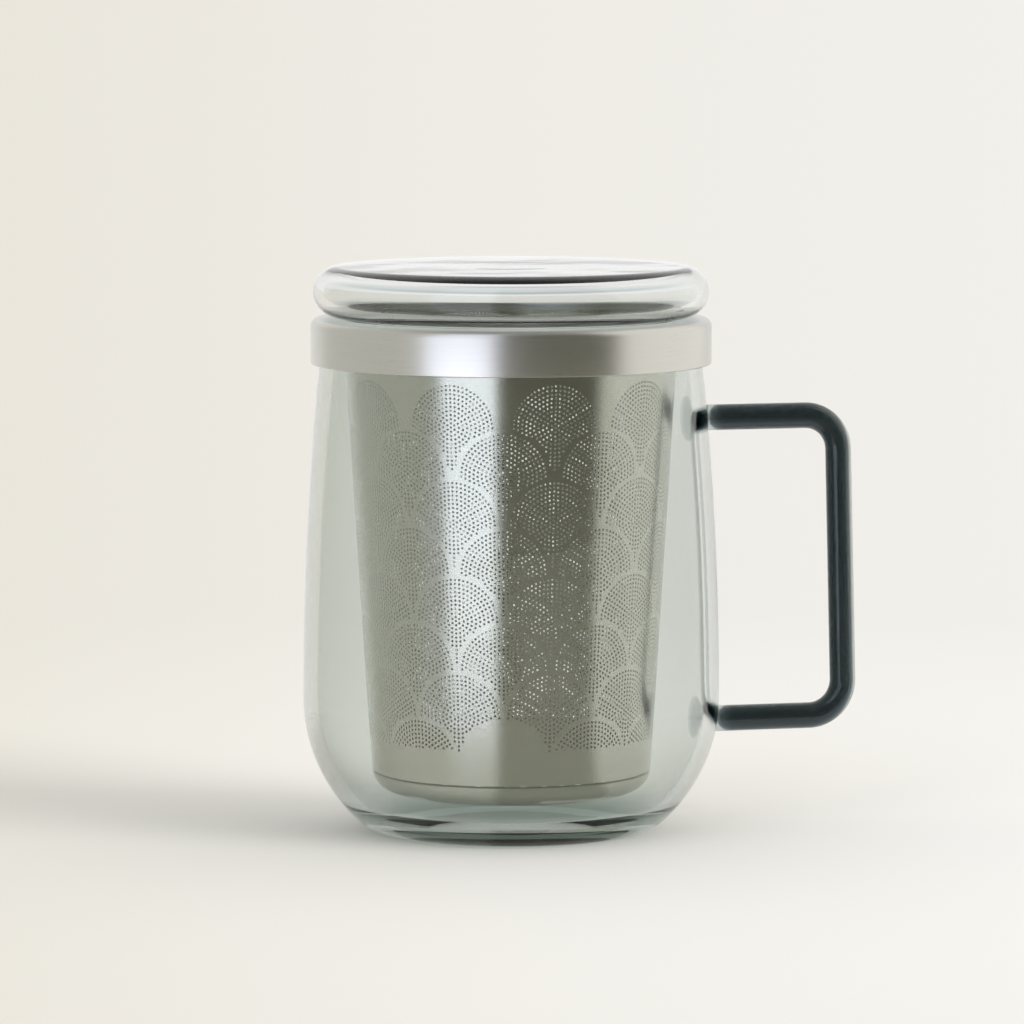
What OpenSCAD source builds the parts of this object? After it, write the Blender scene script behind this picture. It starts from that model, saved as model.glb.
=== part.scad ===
// Lidded tea mug with a lift-out infuser: a blown glass cup with a solid glass rod handle,
// a perforated steel basket that hangs from the rim by a hook-shaped collar, and a hollow glass lid.
// The cup's axis is the Z axis, the foot stands on z = 0 and the handle points along +X.

/* [Cup] */
// Height of the cup from its foot to its rim
cup_h = 115; // [108:0.5:125]
// Outer radius of the cup where it is widest
belly_r = 47; // [43:0.5:52]
// Height of the widest point above the foot
belly_z = 30.5; // [26:0.5:38]
// Radius of the long curve from the belly up to the rim
side_curve = 720; // [650:10:1200]
// Radius of the curve that draws the side in below the belly
lower_curve = 38; // [34:0.5:46]
// Radius of the corner between the side and the foot
foot_corner = 10.5; // [8:0.5:13]
// Wall thickness of the cup
cup_wall = 3.2; // [2.4:0.1:3.6]
// Glass thickness from the foot's plane to the cup's inner floor
base_t = 5.2; // [4:0.1:6]
// Radius of the corner between the inner floor and the inner wall
inner_corner = 9; // [7:0.5:11]
// Height of the hollow under the base
push_up = 1; // [0.4:0.1:2]
// Radius at which the hollow under the base starts
push_up_r = 20; // [14:0.5:24]

/* [Handle] */
// Radius of the handle's glass rod
rod_r = 2.95; // [2:0.05:4]
// Height of the upper arm's centre line
upper_arm_z = 92.4; // [80:0.5:98]
// Height of the lower arm's centre line
lower_arm_z = 23.6; // [20:0.1:35]
// Distance from the cup's side to the grip's centre line, at the upper arm
upper_reach = 32.9; // [26:0.1:40]
// Distance from the cup's side to the grip's centre line, at the lower arm
lower_reach = 32.5; // [26:0.1:40]
// Centre line radius of the handle's two corners
handle_corner = 8; // [5:0.5:15]
// Radius of the flare where an arm is fused to the cup
flare = 2.2; // [0.8:0.1:3.5]

/* [Infuser] */
// Distance from the cup's outside to the foot of the collar's outer skirt
skirt_gap = 1.3; // [0.9:0.1:2.5]
// Distance from the rim's inside to the collar's inner skirt
hook_gap = 0.8; // [0.4:0.1:2]
// Height of the collar's outer skirt
collar_h = 10.3; // [7:0.1:14]
// Sheet thickness of the collar
collar_t = 0.7; // [0.5:0.1:1]
// Radius of the collar's outer shoulder
shoulder = 1.9; // [1.2:0.1:2.5]
// Depth of the collar's inner skirt below its top
mouth_h = 9.2; // [8:0.1:12]
// How much smaller the basket's radius is at its foot than in the collar's mouth
basket_taper = 6; // [3:0.5:9]
// Space between the cup's inner floor and the infuser's pan
under_pan = 4.25; // [3:0.25:12]
// Sheet thickness of the basket
basket_t = 0.5; // [0.4:0.05:0.8]
// Length of the basket's wall that sits inside the collar's inner skirt
weld_lap = 2.6; // [1.5:0.1:4]
// Radius of the corner of the floor pan
pan_corner = 4.7; // [3:0.1:5]
// Radius of the drain holes in the floor pan
drain_r = 0.7; // [0.5:0.05:1]
// Distance between the drain holes
drain_pitch = 3.8; // [3:0.1:5]
// Plain ring between the drain holes and the corner of the floor pan
drain_margin = 3.8; // [2:0.1:10]

/* [Perforation] */
// Number of scales around the basket
scale_columns = 10; // [8:1:12]
// Angle from the handle to the first column of scales
scale_turn = 18; // [0:1:36]
// Height from one row of scales to the next
scale_row = 10.8; // [9:0.1:13]
// Radius of the outermost arc of holes in a scale
scale_r = 9.6; // [8:0.1:10.5]
// Width of the plain band that outlines each scale
scale_band = 1.9; // [1.6:0.1:3]
// Plain band between the collar's inner skirt and the uppermost scales
top_band = 3.45; // [1:0.05:8]
// Plain band between the lowest holes and the seam of the floor pan
foot_band = 7.4; // [3:0.1:15]
// Distance between holes, along an arc and from arc to arc
hole_pitch = 2.7; // [2.5:0.1:3.6]
// Radius of a hole
hole_r = 0.6; // [0.4:0.05:0.7]

/* [Lid] */
// How far the lid's edge stays inside the collar's
lid_inset = 0.5; // [0:0.1:2]
// Radius of the lid's edge above its widest line
lid_upper_edge = 5.5; // [4.2:0.1:6.5]
// Radius of the lid's edge below its widest line
lid_lower_edge = 5.8; // [4.8:0.1:7]
// Glass thickness of the lid
lid_wall = 2.4; // [1.8:0.1:2.8]
// Depth of the step that centres the lid in the collar's mouth
step_h = 3; // [2:0.1:4]
// Clearance between that step and the collar's mouth
step_gap = 0.6; // [0.3:0.05:1]
// Radius of the shallow dimple in the middle of the lid's top
dimple_r = 17; // [8:0.5:24]
// Depth of that dimple
dimple_h = 0.5; // [0.2:0.1:1]

/* [Fits] */
// Space under a piece that lifts off, between it and its seat
seat_gap = 0.25; // [0.15:0.05:0.4]
// Space between welded sheet edges
weld_gap = 0.05; // [0.03:0.01:0.1]

/* [Motion] */
// Height the infuser is raised in the view
infuser_lift = 0; // [0:1:120]
// Height the lid is raised above the infuser in the view
lid_lift = 0; // [0:1:60]

/* [Hidden] */
$fn = 64;

// Steps of a curved stretch in a turned profile
ARC_STEPS = 14;
LONG_ARC_STEPS = 20;
// Points of a profile that are nearer than this are one point
MERGE = 0.01;
// Flat facets that the basket's wall is folded into: four to a column of scales
facets = 4 * scale_columns;
facet_angle = 360 / facets;
// Metal left between a hole and the fold beside it
FOLD_WEB = 0.15;
// How much the softened rod swells in a bend, and how far a straight length reaches into it
BEND_SWELL = 0.03;
BEND_LAP = 0.4;
// Length of the handle's arms inside the cup's wall, which is then cut away
arm_bury = cup_wall;
// Rounding of a cut sheet edge
SHEET_EDGE = 0.2;
// Colours
SMOKE_GLASS = [0.66, 0.73, 0.7, 0.45];
DARK_GLASS = [0.13, 0.21, 0.25, 0.85];
CLEAR_GLASS = [0.86, 0.89, 0.88, 0.4];
STEEL = [0.72, 0.72, 0.69];

// Points of an arc around [x, y], from one angle to another
function arc(x, y, r, from, to, steps = ARC_STEPS) =
    [for (i = [0:steps]) let (a = from + (to - from) * i / steps) [x + r * cos(a), y + r * sin(a)]];

// Radius of the centre of a corner of radius c that stands on the plane z = floor_z
// and runs smoothly into an arc of radius r whose outermost point is [widest, belly_z]
function corner_x(widest, r, c, floor_z) =
    widest - r + sqrt(pow(r - c, 2) - pow(belly_z - floor_z - c, 2));

// Angle at which that corner runs into the arc
function corner_angle(r, c, floor_z) = -asin((belly_z - floor_z - c) / (r - c));

// One face of the cup, from the floor's edge up to height top: corner, lower curve and side curve
function cup_side(inset, c, floor_z, top) =
    let (
        widest = belly_r - inset,
        low = lower_curve - inset,
        long = side_curve - inset,
        x = corner_x(widest, low, c, floor_z),
        joint = corner_angle(low, c, floor_z),
        joint_z = floor_z + c * (1 + sin(joint))
    )
    concat(
        arc(x, floor_z + c, c, -90, joint),
        [for (p = arc(widest - low, belly_z, low, joint, 0)) if (p[1] > joint_z + MERGE) p],
        [for (p = arc(widest - long, belly_z, long, 0, asin((top - belly_z) / long), LONG_ARC_STEPS))
            if (p[1] > belly_z) p]
    );

// Outer radius of the cup at a height on its belly or its side
function cup_r(z) =
    let (curve = z > belly_z ? side_curve : lower_curve)
    belly_r - curve + sqrt(pow(curve, 2) - pow(z - belly_z, 2));

// Distance of the hollow's surface above the foot at radius r
function hollow_z(r) = push_up * (1 - pow(r / push_up_r, 2));

// Cup
rim_z = cup_h - cup_wall / 2;
rim_x = cup_r(rim_z) - cup_wall / 2;
cup_outside = cup_side(0, foot_corner, 0, rim_z);
cup_inside = cup_side(cup_wall, inner_corner, base_t, rim_z);

// Collar, which hooks over the rim
collar_top = cup_h + seat_gap + collar_t;
skirt_foot = collar_top - collar_h;
mouth_foot = collar_top - mouth_h;
collar_r = cup_r(skirt_foot) + skirt_gap + collar_t;
mouth_r = rim_x - cup_wall / 2 - hook_gap - collar_t;

// Basket; the folded wall's corners stay inside the collar's round skirt
pan_bottom = base_t + under_pan;
seam_z = pan_bottom + pan_corner + weld_gap;
basket_foot_r = mouth_r - basket_taper;
drain_field_r = basket_foot_r - pan_corner - drain_margin;
wall_top_z = mouth_foot + weld_lap;
wall_top_r = (mouth_r - weld_gap) * cos(facet_angle / 2);
scales_top_z = mouth_foot - top_band;
scales_foot_z = seam_z + foot_band;

// Lid
lid_r = collar_r - lid_inset;
lid_seat = collar_top + seat_gap;
lid_mid = lid_seat + lid_lower_edge;
lid_top_z = lid_mid + lid_upper_edge;
step_r = mouth_r - step_gap;

module cup() {
    rim = [for (p = arc(rim_x, rim_z, cup_wall / 2, 0, 180)) if (p[1] > rim_z + MERGE) p];
    hollow = [for (i = [0:6]) let (r = push_up_r * i / 6) [r, hollow_z(r)]];
    floor_edge = [for (i = [len(cup_inside) - 1:-1:0]) cup_inside[i]];
    color(SMOKE_GLASS)
        rotate_extrude(convexity = 6)
            polygon(concat(hollow, cup_outside, rim, floor_edge, [[0, base_t]]));
}

// The solid that the cup's outer surface encloses
module cup_body() {
    rotate_extrude() polygon(concat([[0, 0]], cup_outside, [[0, rim_z]]));
}

// Where an arm of the handle is flared into the cup's wall: a fillet around the rod, widest at z = 0
module flared_end() {
    fillet = [for (i = [0:6]) let (a = 15 * i)
        [rod_r + flare * (1 - sin(a)), arm_bury + flare * (1 - cos(a))]];
    rotate_extrude() polygon(concat([[0, 0], [rod_r + flare, 0]], fillet, [[0, arm_bury + flare]]));
}

// A straight length of the rod along Z, which runs a little way into the bends; what follows it
// starts at its end
module straight(length) {
    translate([0, 0, -BEND_LAP]) cylinder(r = rod_r, h = length + 2 * BEND_LAP);
    translate([0, 0, length]) children();
}

// A bend of the rod from +Z towards +X; what follows it starts at its end
module bend(turn) {
    translate([handle_corner, 0, 0])
        rotate([90, 0, 180])
            rotate_extrude(angle = turn)
                translate([handle_corner, 0])
                    circle(r = rod_r + BEND_SWELL);
    translate([handle_corner, 0, 0])
        rotate([0, turn, 0])
            translate([-handle_corner, 0, 0])
                children();
}

module handle() {
    grip_top_x = cup_r(upper_arm_z) + upper_reach;
    grip_foot_x = cup_r(lower_arm_z) + lower_reach;
    lean = atan((grip_foot_x - grip_top_x) / (upper_arm_z - lower_arm_z));
    top_trim = handle_corner * tan((90 - lean) / 2);
    foot_trim = handle_corner * tan((90 + lean) / 2);
    grip_length = norm([grip_foot_x - grip_top_x, upper_arm_z - lower_arm_z]) - top_trim - foot_trim;
    upper_start = cup_r(upper_arm_z) - arm_bury;
    lower_start = cup_r(lower_arm_z) - arm_bury;
    color(DARK_GLASS)
        difference() {
            translate([upper_start, 0, upper_arm_z])
                rotate([0, 90, 0]) {
                    flared_end();
                    straight(grip_top_x - top_trim - upper_start)
                        bend(90 - lean)
                            straight(grip_length)
                                bend(90 + lean)
                                    straight(grip_foot_x - foot_trim - lower_start)
                                        mirror([0, 0, 1])
                                            flared_end();
                }
            cup_body();
        }
}

// The collar's section is an upside-down hook: outer skirt, shoulder, land and inner skirt
module collar() {
    inner_bend = 1.1;
    under = shoulder - collar_t;
    under_inner = inner_bend + collar_t;
    e = SHEET_EDGE;
    outside = concat(
        arc(collar_r - e, skirt_foot + e, e, -90, 0, 3),
        arc(collar_r - shoulder, collar_top - shoulder, shoulder, 0, 90, 8),
        arc(mouth_r + inner_bend, collar_top - inner_bend, inner_bend, 90, 180, 6),
        [[mouth_r, mouth_foot], [mouth_r + collar_t, mouth_foot]]
    );
    inside = concat(
        [[mouth_r + collar_t, collar_top - inner_bend - collar_t],
         [mouth_r + under_inner, collar_top - collar_t]],
        arc(collar_r - shoulder, collar_top - shoulder, under, 90, 0, 8),
        arc(collar_r - collar_t + e, skirt_foot + e, e, 180, 270, 3)
    );
    color(STEEL) rotate_extrude(convexity = 6) polygon(concat(outside, inside));
}

// Outer radius of the basket's wall at a height, measured to the middle of a facet
function wall_r(z) = basket_foot_r + (wall_top_r - basket_foot_r) * (z - seam_z) / (wall_top_z - seam_z);

wall_tilt = atan((wall_top_r - basket_foot_r) / (wall_top_z - seam_z));
wall_slant = (wall_top_z - seam_z) / cos(wall_tilt);
scale_rows = 1 + floor((scales_top_z - scales_foot_z) / scale_row);
column_angle = 360 / scale_columns;
// The one scale that stays plain, as a bare field: its row from the top, and its column
BARE_SCALE = [7, 6];

// Height of the centre of a scale in a row, and angle of a scale in a row and column
function scale_z(row) = scales_top_z - scale_r - row * scale_row;
function scale_angle(row, column) = column_angle * (column + (row % 2) / 2);

// Distance on the wall from the centre of a scale to a point given by its angle and height
function scale_distance(row, column, angle, z) =
    norm([(angle - scale_angle(row, column)) * PI / 180 * wall_r(z), z - scale_z(row)]);

// A point of a scale is hidden if a scale of the next two rows laps over it
function lapped(row, column, angle, z) =
    len([for (below = [row + 1:row + 2]) for (beside = [column - 1:column + 1])
        if (below < scale_rows && scale_distance(below, beside, angle, z) < scale_r + scale_band) 1]) > 0;

// The holes of one scale, as [angle, height], on arcs around its centre
function scale_holes(row, column) =
    [for (r = [scale_r - hole_r:-hole_pitch:hole_pitch / 4])
        let (count = round(2 * PI * r / hole_pitch / 2) * 2)
        for (i = [0:count - 1])
            let (
                turn = 90 + 360 * (i + 0.5) / count,
                z = scale_z(row) + r * sin(turn),
                angle = scale_angle(row, column) + r * cos(turn) / wall_r(z) * 180 / PI
            )
            if (z > scales_foot_z + hole_r && !lapped(row, column, angle, z)) [angle, z]];

// One facet of the wall, flat, with its foot on the X axis; a hole that would
// lie on a fold moves to the side of it
module facet(index) {
    middle = index * facet_angle;
    foot_w = 2 * basket_foot_r * tan(facet_angle / 2);
    top_w = 2 * wall_top_r * tan(facet_angle / 2);
    nearest = floor(middle / column_angle);
    linear_extrude(basket_t)
        difference() {
            polygon([[-foot_w / 2, 0], [foot_w / 2, 0], [top_w / 2, wall_slant], [-top_w / 2, wall_slant]]);
            for (row = [0:scale_rows - 1])
                for (column = [nearest - 1:nearest + 1])
                    if ([row, (column + scale_columns) % scale_columns] != BARE_SCALE)
                        for (hole = scale_holes(row, column))
                            if (abs(hole[0] - middle) <= facet_angle / 2) {
                                room = wall_r(hole[1]) * tan(facet_angle / 2) - hole_r - FOLD_WEB;
                                x = wall_r(hole[1]) * tan(hole[0] - middle);
                                translate([max(-room, min(room, x)), (hole[1] - seam_z) / cos(wall_tilt)])
                                    circle(r = hole_r, $fn = 16);
                            }
        }
}

module basket_wall() {
    color(STEEL)
        for (index = [0:facets - 1])
            rotate([0, 0, scale_turn + index * facet_angle])
                translate([basket_foot_r, 0, seam_z])
                    rotate([0, wall_tilt, 0])
                        translate([-basket_t, 0, 0])
                            rotate([90, 0, 90])
                                facet(index);
}

module basket_floor() {
    rim = seam_z - weld_gap;
    inner = pan_corner - basket_t;
    profile = concat(
        [[0, pan_bottom]],
        arc(basket_foot_r - pan_corner, pan_bottom + pan_corner, pan_corner, -90, 0, 10),
        [[basket_foot_r - basket_t, rim]],
        arc(basket_foot_r - pan_corner, pan_bottom + pan_corner, inner, 0, -90, 10),
        [[0, pan_bottom + basket_t]]
    );
    color(STEEL)
        difference() {
            rotate_extrude() polygon(profile);
            for (ring = [1:floor(drain_field_r / drain_pitch)])
                for (i = [0:6 * ring - 1])
                    rotate([0, 0, i * 60 / ring])
                        translate([ring * drain_pitch, 0, pan_bottom - 1])
                            cylinder(r = drain_r, h = basket_t + 2, $fn = 16);
        }
}

// Half of the hollow lid: the shell between an outer and an inner profile
module lid_shell(outside, inside) {
    color(CLEAR_GLASS)
        rotate_extrude(convexity = 6)
            polygon(concat(outside, [for (i = [len(inside) - 1:-1:0]) inside[i]]));
}

module lid_bottom() {
    step_bend = 1.5;
    seat_ease = 0.6;
    foot = lid_seat - step_h;
    inner_r = step_r - lid_wall;
    inner_floor = foot + lid_wall;
    inner_seat = lid_seat + lid_wall;
    edge_x = lid_r - lid_lower_edge;
    outside = concat(
        [[0, foot]],
        arc(step_r - step_bend, foot + step_bend, step_bend, -90, 0, 5),
        [[step_r, lid_seat - seat_ease], [step_r + seat_ease, lid_seat]],
        arc(edge_x, lid_mid, lid_lower_edge, -90, 0)
    );
    inside = concat(
        [[0, inner_floor], [inner_r - step_bend, inner_floor], [inner_r, inner_floor + step_bend]],
        [[inner_r, inner_seat - seat_ease], [inner_r + seat_ease, inner_seat]],
        arc(edge_x, lid_mid, lid_lower_edge - lid_wall, -90, 0)
    );
    lid_shell(outside, inside);
}

module lid_top() {
    edge_x = lid_r - lid_upper_edge;
    dimple = [for (i = [12:-1:0]) let (r = dimple_r * i / 12)
        [r, lid_top_z - dimple_h * (1 + cos(180 * i / 12)) / 2]];
    outside = concat(arc(edge_x, lid_mid, lid_upper_edge, 0, 90), dimple);
    inside = concat(
        arc(edge_x, lid_mid, lid_upper_edge - lid_wall, 0, 90),
        [for (p = dimple) [p[0], p[1] - lid_wall]]
    );
    lid_shell(outside, inside);
}

cup();
handle();
translate([0, 0, infuser_lift]) collar();
translate([0, 0, infuser_lift]) basket_wall();
translate([0, 0, infuser_lift]) basket_floor();
translate([0, 0, infuser_lift + lid_lift]) lid_bottom();
translate([0, 0, infuser_lift + lid_lift]) lid_top();
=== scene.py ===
import math

import bpy
import numpy as np
from mathutils import Matrix, Vector
from mathutils.geometry import delaunay_2d_cdt


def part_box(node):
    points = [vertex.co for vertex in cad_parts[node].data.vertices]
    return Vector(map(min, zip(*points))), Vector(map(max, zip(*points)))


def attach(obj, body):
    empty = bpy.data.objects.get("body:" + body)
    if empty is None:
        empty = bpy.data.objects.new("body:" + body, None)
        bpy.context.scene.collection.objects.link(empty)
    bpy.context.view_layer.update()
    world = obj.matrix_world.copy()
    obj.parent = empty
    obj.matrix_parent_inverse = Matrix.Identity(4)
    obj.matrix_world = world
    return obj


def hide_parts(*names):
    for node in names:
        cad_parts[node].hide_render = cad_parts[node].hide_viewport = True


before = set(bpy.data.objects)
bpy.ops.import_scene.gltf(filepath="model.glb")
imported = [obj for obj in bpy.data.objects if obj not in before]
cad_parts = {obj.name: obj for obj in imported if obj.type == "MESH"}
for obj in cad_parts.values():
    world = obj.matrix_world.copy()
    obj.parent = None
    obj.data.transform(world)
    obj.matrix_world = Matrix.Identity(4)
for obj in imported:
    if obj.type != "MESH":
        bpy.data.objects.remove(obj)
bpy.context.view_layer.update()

# ---------------------------------------------------------------- sizes, in millimetres

MM = 0.001
TURN = 2 * math.pi


def node_box(node):
    """Lowest and highest corner of a CAD node, in millimetres."""
    low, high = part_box(node)
    return low / MM, high / MM


CUP_HIGH = node_box("cup")[1]
HANDLE_LOW, HANDLE_HIGH = node_box("handle")
COLLAR_LOW, COLLAR_HIGH = node_box("collar")
WALL_LOW, WALL_HIGH = node_box("basket_wall")
PAN_LOW, PAN_HIGH = node_box("basket_floor")
LID_HIGH = node_box("lid_top")[1]

# Cup: a long side curve above the belly, a short one below it, and the corner of the foot
CUP_H = CUP_HIGH.z
BELLY_R = CUP_HIGH.y
BELLY_Z = 30.5
SIDE_CURVE = 720
LOWER_CURVE = 38
FOOT_CORNER = 10.5
CUP_WALL = 3.2
BASE_T = 5.2
INNER_CORNER = 9
PUSH_UP = 1
PUSH_UP_R = 20

# Handle: a leaning grip between two level arms, which flare where they meet the cup
ROD_R = 2.95
HANDLE_CORNER = 8
CORNER_SETBACK = 0.17  # how far the lower corner stays inside the foot of the leaning grip
FLARE = 2.2
BOSS_R = ROD_R + FLARE
BOSS_BURY = 1.2
UPPER_ARM_Z = HANDLE_HIGH.z - ROD_R - FLARE
LOWER_ARM_Z = HANDLE_LOW.z + ROD_R + FLARE
GRIP_FOOT_X = HANDLE_HIGH.x - ROD_R + CORNER_SETBACK
GRIP_LEAN = 1.7
GRIP_TOP_X = GRIP_FOOT_X - GRIP_LEAN

# The dark core in the handle's rod
DYE_START = 1.0  # from the cup's surface
DYE_TIP = 4.5  # length of its rounded ends
DYE_R = 2.3
# The core is the rod's dark glass; lying off centre, it paints the grip light on its side away from
# the cup, where the key lights it
DYE_SHIFT_PAINTED_LIGHT = 0.6  # how far it lies towards the cup at the grip

# Infuser
COLLAR_R = COLLAR_HIGH.y
COLLAR_TOP = COLLAR_HIGH.z
SKIRT_FOOT = COLLAR_LOW.z
COLLAR_T = 0.7
SHOULDER = 1.9
MOUTH_R = 37.5
MOUTH_FOOT = COLLAR_TOP - 9.2
MOUTH_BEND = 1.1
MOUTH_STRAIGHT = COLLAR_TOP - 2  # where the straight part under the bend begins
MOUTH_OUTSIDE = MOUTH_R + 0.5  # what lies within this radius is the mouth's inner face
SHEET_EDGE = 0.3
BASKET_T = 0.3
SEAM_Z = WALL_LOW.z
WALL_TOP = WALL_HIGH.z
FOOT_R = PAN_HIGH.y
PAN_CORNER = 4.7
PAN_BOTTOM = PAN_LOW.z
WELD_GAP = 0.05
WALL_TOP_R = MOUTH_R - WELD_GAP
DRAIN_R = 0.7
DRAIN_PITCH = 3.8
DRAIN_RINGS = 6
DRAIN_SIDES = 16

# Perforation: rows of lapped scales, each a fan of arcs of holes
COLUMNS = 10
SCALE_TURN = 17.7  # degrees from +X to the first column
SCALE_ROWS = 8
SCALE_ROW = 10.77
SCALES_TOP = 103.4
SCALES_FOOT = 21.55
SCALE_R = 9.5
SCALE_BAND = 1.05
HOLE_R = 0.285
ARC_PITCH = 0.922
HOLE_PITCH = 0.95
HOLE_SIDES = 8
HOLE_MARGIN = 0.3  # from a hole's edge to the points that carry the wall's curve
BARE_SCALE = (7, 6)  # row and column of the scale that is left plain

# Lid
LID_R = LID_HIGH.y
LID_SEAT = COLLAR_TOP + 0.25
LID_LOWER_EDGE = 5.8
LID_MID = LID_SEAT + LID_LOWER_EDGE
LID_TOP = LID_HIGH.z
LID_UPPER_EDGE = LID_TOP - LID_MID
LID_WALL = 2.4
STEP_R = MOUTH_R - 0.6
STEP_H = 3
STEP_BEND = 1.5
STEP_EASE = 0.6
DIMPLE_R = 17
DIMPLE_H = 0.5

# Camera, as the photograph was taken: a long lens, looking slightly down
CAMERA_AZIMUTH = math.radians(254.5)
CAMERA_PITCH = 5.4
CAMERA_DISTANCE = 1600
FOCAL_PIXELS = 7100
IMAGE_PIXELS = 1024
AIM_Z = 72
AIM_RIGHT = 0.2
TO_CAMERA = Vector((math.cos(CAMERA_AZIMUTH), math.sin(CAMERA_AZIMUTH), 0))
TO_RIGHT = Vector((-TO_CAMERA.y, TO_CAMERA.x, 0))


# ---------------------------------------------------------------- shapes

def arc(x, z, r, start, end, steps=24):
    """Points of an arc around (x, z), with its angles in degrees."""
    angles = np.radians(np.linspace(start, end, steps + 1))
    return [(x + r * math.cos(a), z + r * math.sin(a)) for a in angles]


def circle(r, count, offset=0):
    """Evenly spaced points of a circle around the origin; offset is in steps."""
    turns = [TURN * (i + offset) / count for i in range(count)]
    return [(r * math.cos(a), r * math.sin(a)) for a in turns]


def merged(points, near=0.02):
    """The points without those that repeat the one before."""
    kept = [points[0]]
    for p in points[1:]:
        if math.dist(p, kept[-1]) > near:
            kept.append(p)
    return kept


def mesh_object(name, verts_mm, faces, sharp=40):
    """A smooth shaded mesh from points in millimetres."""
    mesh = bpy.data.meshes.new(name)
    mesh.from_pydata([tuple(MM * c for c in v) for v in verts_mm], [], faces)
    mesh.shade_smooth()
    mesh.set_sharp_from_angle(angle=math.radians(sharp))
    mesh.validate()
    piece = bpy.data.objects.new(name, mesh)
    bpy.context.scene.collection.objects.link(piece)
    return piece


def turned_shell(profile, segments, loop, offset=0):
    """Vertices and faces of a profile turned around Z; points on the axis become poles."""
    rings, verts = [], []
    for r, z in profile:
        if r < 1e-6:
            rings.append([offset + len(verts)] * segments)
            verts.append((0, 0, z))
            continue
        rings.append([offset + len(verts) + i for i in range(segments)])
        verts += [(x, y, z) for x, y in circle(r, segments)]
    faces = []
    count = len(rings) if loop else len(rings) - 1
    for j in range(count):
        low, high = rings[j], rings[(j + 1) % len(rings)]
        for i in range(segments):
            k = (i + 1) % segments
            face = [low[i], low[k], high[k], high[i]]
            face = [v for n, v in enumerate(face) if v != face[n - 1]]
            if len(face) > 2:
                faces.append(face)
    return verts, faces


def turned(name, profiles, segments=256, loop=False, sharp=40):
    """One mesh of profiles turned around Z; an outer face is listed from its foot up."""
    verts, faces = [], []
    for profile in profiles:
        v, f = turned_shell(merged(profile), segments, loop, len(verts))
        verts += v
        faces += f
    return mesh_object(name, verts, faces, sharp)


def cup_side(inset, corner, floor_z, top):
    """One face of the cup from its floor's edge up: corner, lower curve and side curve."""
    widest, low, long = BELLY_R - inset, LOWER_CURVE - inset, SIDE_CURVE - inset
    rise = BELLY_Z - floor_z - corner
    x = widest - low + math.sqrt((low - corner) ** 2 - rise ** 2)
    joint = -math.degrees(math.asin(rise / (low - corner)))
    return (
        arc(x, floor_z + corner, corner, -90, joint, 28)
        + arc(widest - low, BELLY_Z, low, joint, 0, 24)
        + arc(widest - long, BELLY_Z, long, 0, math.degrees(math.asin((top - BELLY_Z) / long)), 48)
    )


def cup_r(z):
    """Outer radius of the cup at a height."""
    curve = SIDE_CURVE if z > BELLY_Z else LOWER_CURVE
    return BELLY_R - curve + math.sqrt(curve ** 2 - (z - BELLY_Z) ** 2)


def swept(name, path, radii, segments=40):
    """A solid rod along a path, with a radius at each point and flat ends."""
    path = [Vector(p) for p in path]
    verts, faces = [], []
    for j, p in enumerate(path):
        along = (path[min(j + 1, len(path) - 1)] - path[max(j - 1, 0)]).normalized()
        side = Vector((0, 1, 0))
        up = along.cross(side).normalized()
        for i in range(segments):
            a = TURN * i / segments
            verts.append(p + radii[j] * (math.cos(a) * side + math.sin(a) * up))
    for j in range(len(path) - 1):
        low, high = j * segments, (j + 1) * segments
        for i in range(segments):
            k = (i + 1) % segments
            faces.append([low + i, low + k, high + k, high + i])
    last = (len(path) - 1) * segments
    faces.append(list(reversed(range(segments))))
    faces.append([last + i for i in range(segments)])
    return mesh_object(name, verts, faces, 60)


def punched_sheet(name, rim, inner, holes, hole_ring, place, thickness):
    """A sheet with holes, drawn flat and then put in place.

    rim is the flat outline, inner are more flat points that carry the sheet's curve, holes are
    the holes' centres, hole_ring gives a hole's flat corner points, and place turns flat points
    into their positions and outward directions. The outer face gets the piece's first material,
    and the rest its second.
    """
    flat = list(rim)
    edges = [(i, (i + 1) % len(rim)) for i in range(len(rim))]
    rings = []
    for hole in holes:
        first = len(flat)
        ring = hole_ring(hole)
        flat += ring
        rings.append(list(range(first, first + len(ring))))
        edges += [(first + i, first + (i + 1) % len(ring)) for i in range(len(ring))]
    flat += list(inner)
    within_rim, merging_distance = 1, 1e-7
    found, _, triangles, *_ = delaunay_2d_cdt(
        [Vector(p) for p in flat], edges, [], within_rim, merging_distance)
    if len(found) != len(flat):
        raise ValueError(f"{name}: {len(flat) - len(found)} flat points coincide")
    hole_of = np.full(len(flat), -1)
    for number, ring in enumerate(rings):
        hole_of[ring] = number
    triangles = np.array(triangles)
    one_hole = hole_of[triangles].min(1) == hole_of[triangles].max(1)
    triangles = triangles[~(one_hole & (hole_of[triangles[:, 0]] >= 0))]
    position, outward = place(np.array(flat))
    count = len(flat)
    verts = np.concatenate([position, position - thickness * outward]) * MM
    walls = []
    for ring in rings + [list(reversed(range(len(rim))))]:
        walls += [(a, b, b + count, a + count) for a, b in zip(ring, ring[1:] + ring[:1])]
    corner = position[triangles]
    normal = np.cross(corner[:, 1] - corner[:, 0], corner[:, 2] - corner[:, 0])
    facing = np.einsum("ij,ij->i", normal, outward[triangles[:, 0]])
    triangles[facing < 0] = triangles[facing < 0][:, ::-1]
    faces = triangles.tolist() + (triangles[:, ::-1] + count).tolist() + walls
    mesh = bpy.data.meshes.new(name)
    mesh.from_pydata(verts.tolist(), [], faces)
    mesh.shade_smooth()
    outer = len(triangles)
    mesh.polygons.foreach_set("material_index", [0] * outer + [1] * (len(faces) - outer))
    normals = np.concatenate([
        outward[triangles].reshape(-1, 3),
        -outward[triangles[:, ::-1]].reshape(-1, 3),
        np.zeros((4 * len(walls), 3)),
    ])
    mesh.normals_split_custom_set(normals.tolist())
    piece = bpy.data.objects.new(name, mesh)
    bpy.context.scene.collection.objects.link(piece)
    return piece


# ---------------------------------------------------------------- shader nodes

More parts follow.
